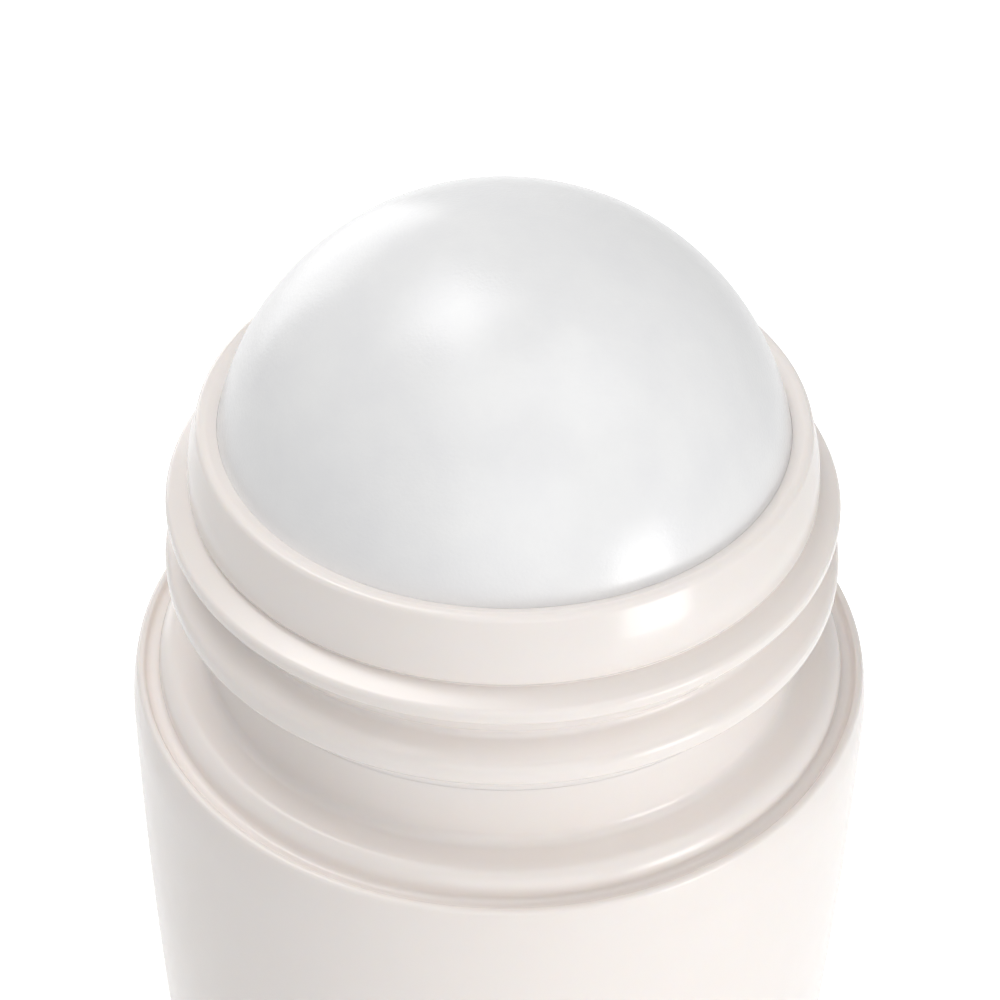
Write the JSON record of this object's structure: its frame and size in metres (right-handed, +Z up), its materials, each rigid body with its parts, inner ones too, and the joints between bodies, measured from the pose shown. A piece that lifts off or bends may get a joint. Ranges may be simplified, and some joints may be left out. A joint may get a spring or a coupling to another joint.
{
  "type": "roll-on deodorant",
  "caption": "Round tapering bottle with a snap-in collar at its top, in which a hollow ball rolls to spread the liquid inside; open, without its cap.",
  "frame": {"origin": "middle of the base, on the surface that the bottle stands on", "axes": "+Z up along the bottle's axis; the part is round about Z, and the ball's stated axis lies along X"},
  "size_m": [0.0472, 0.0472, 0.0978],
  "materials": {
    "bottle_plastic": "satin moulded polypropylene, ivory",
    "housing_plastic": "satin moulded polypropylene, ivory",
    "ball_plastic": "finely frosted polypropylene, cool white",
    "deodorant": "milky liquid, wet gloss"
  },
  "bodies": {
    "container": {"bottle": "bottle_plastic", "ball_housing": "housing_plastic", "deodorant_liquid": "deodorant"},
    "ball": {"roller_ball": "ball_plastic"}
  },
  "joints": [
    {"name": "ball_roll", "type": "hinge", "parent": "container", "child": "ball", "pos_m": [0, 0, 0.08], "axis": [1, 0, 0], "continuous": true}
  ]
}
